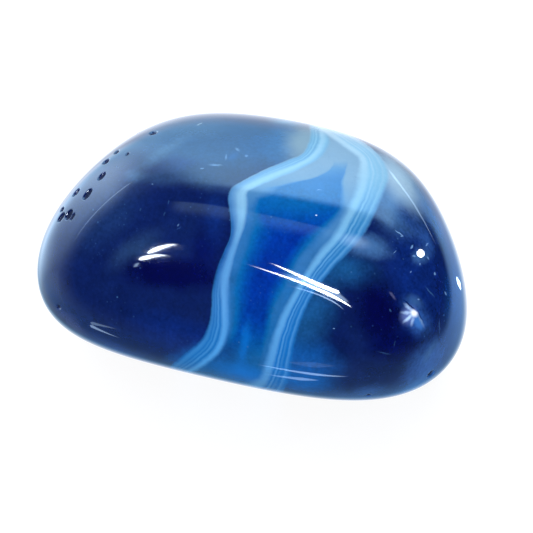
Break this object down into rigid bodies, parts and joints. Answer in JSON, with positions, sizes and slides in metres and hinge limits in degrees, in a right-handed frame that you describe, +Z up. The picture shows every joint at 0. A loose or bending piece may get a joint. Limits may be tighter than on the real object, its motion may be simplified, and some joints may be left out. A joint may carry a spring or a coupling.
{
  "type": "tumbled agate",
  "caption": "Tumbled pebble of glossy blue banded agate, worn smooth all round, with small open pits at its left end.",
  "frame": {"origin": "on the resting flat, under the middle of the stone's box", "axes": "+X along the long side towards the steeper right end, +Z up, and the pictured face towards -Y"},
  "size_m": [0.0416, 0.0292, 0.0243],
  "materials": {
    "polished_agate": "high polish from tumbling, with a few open pits"
  },
  "bodies": {
    "root": {"tumbled_agate": "polished_agate"}
  },
  "joints": []
}
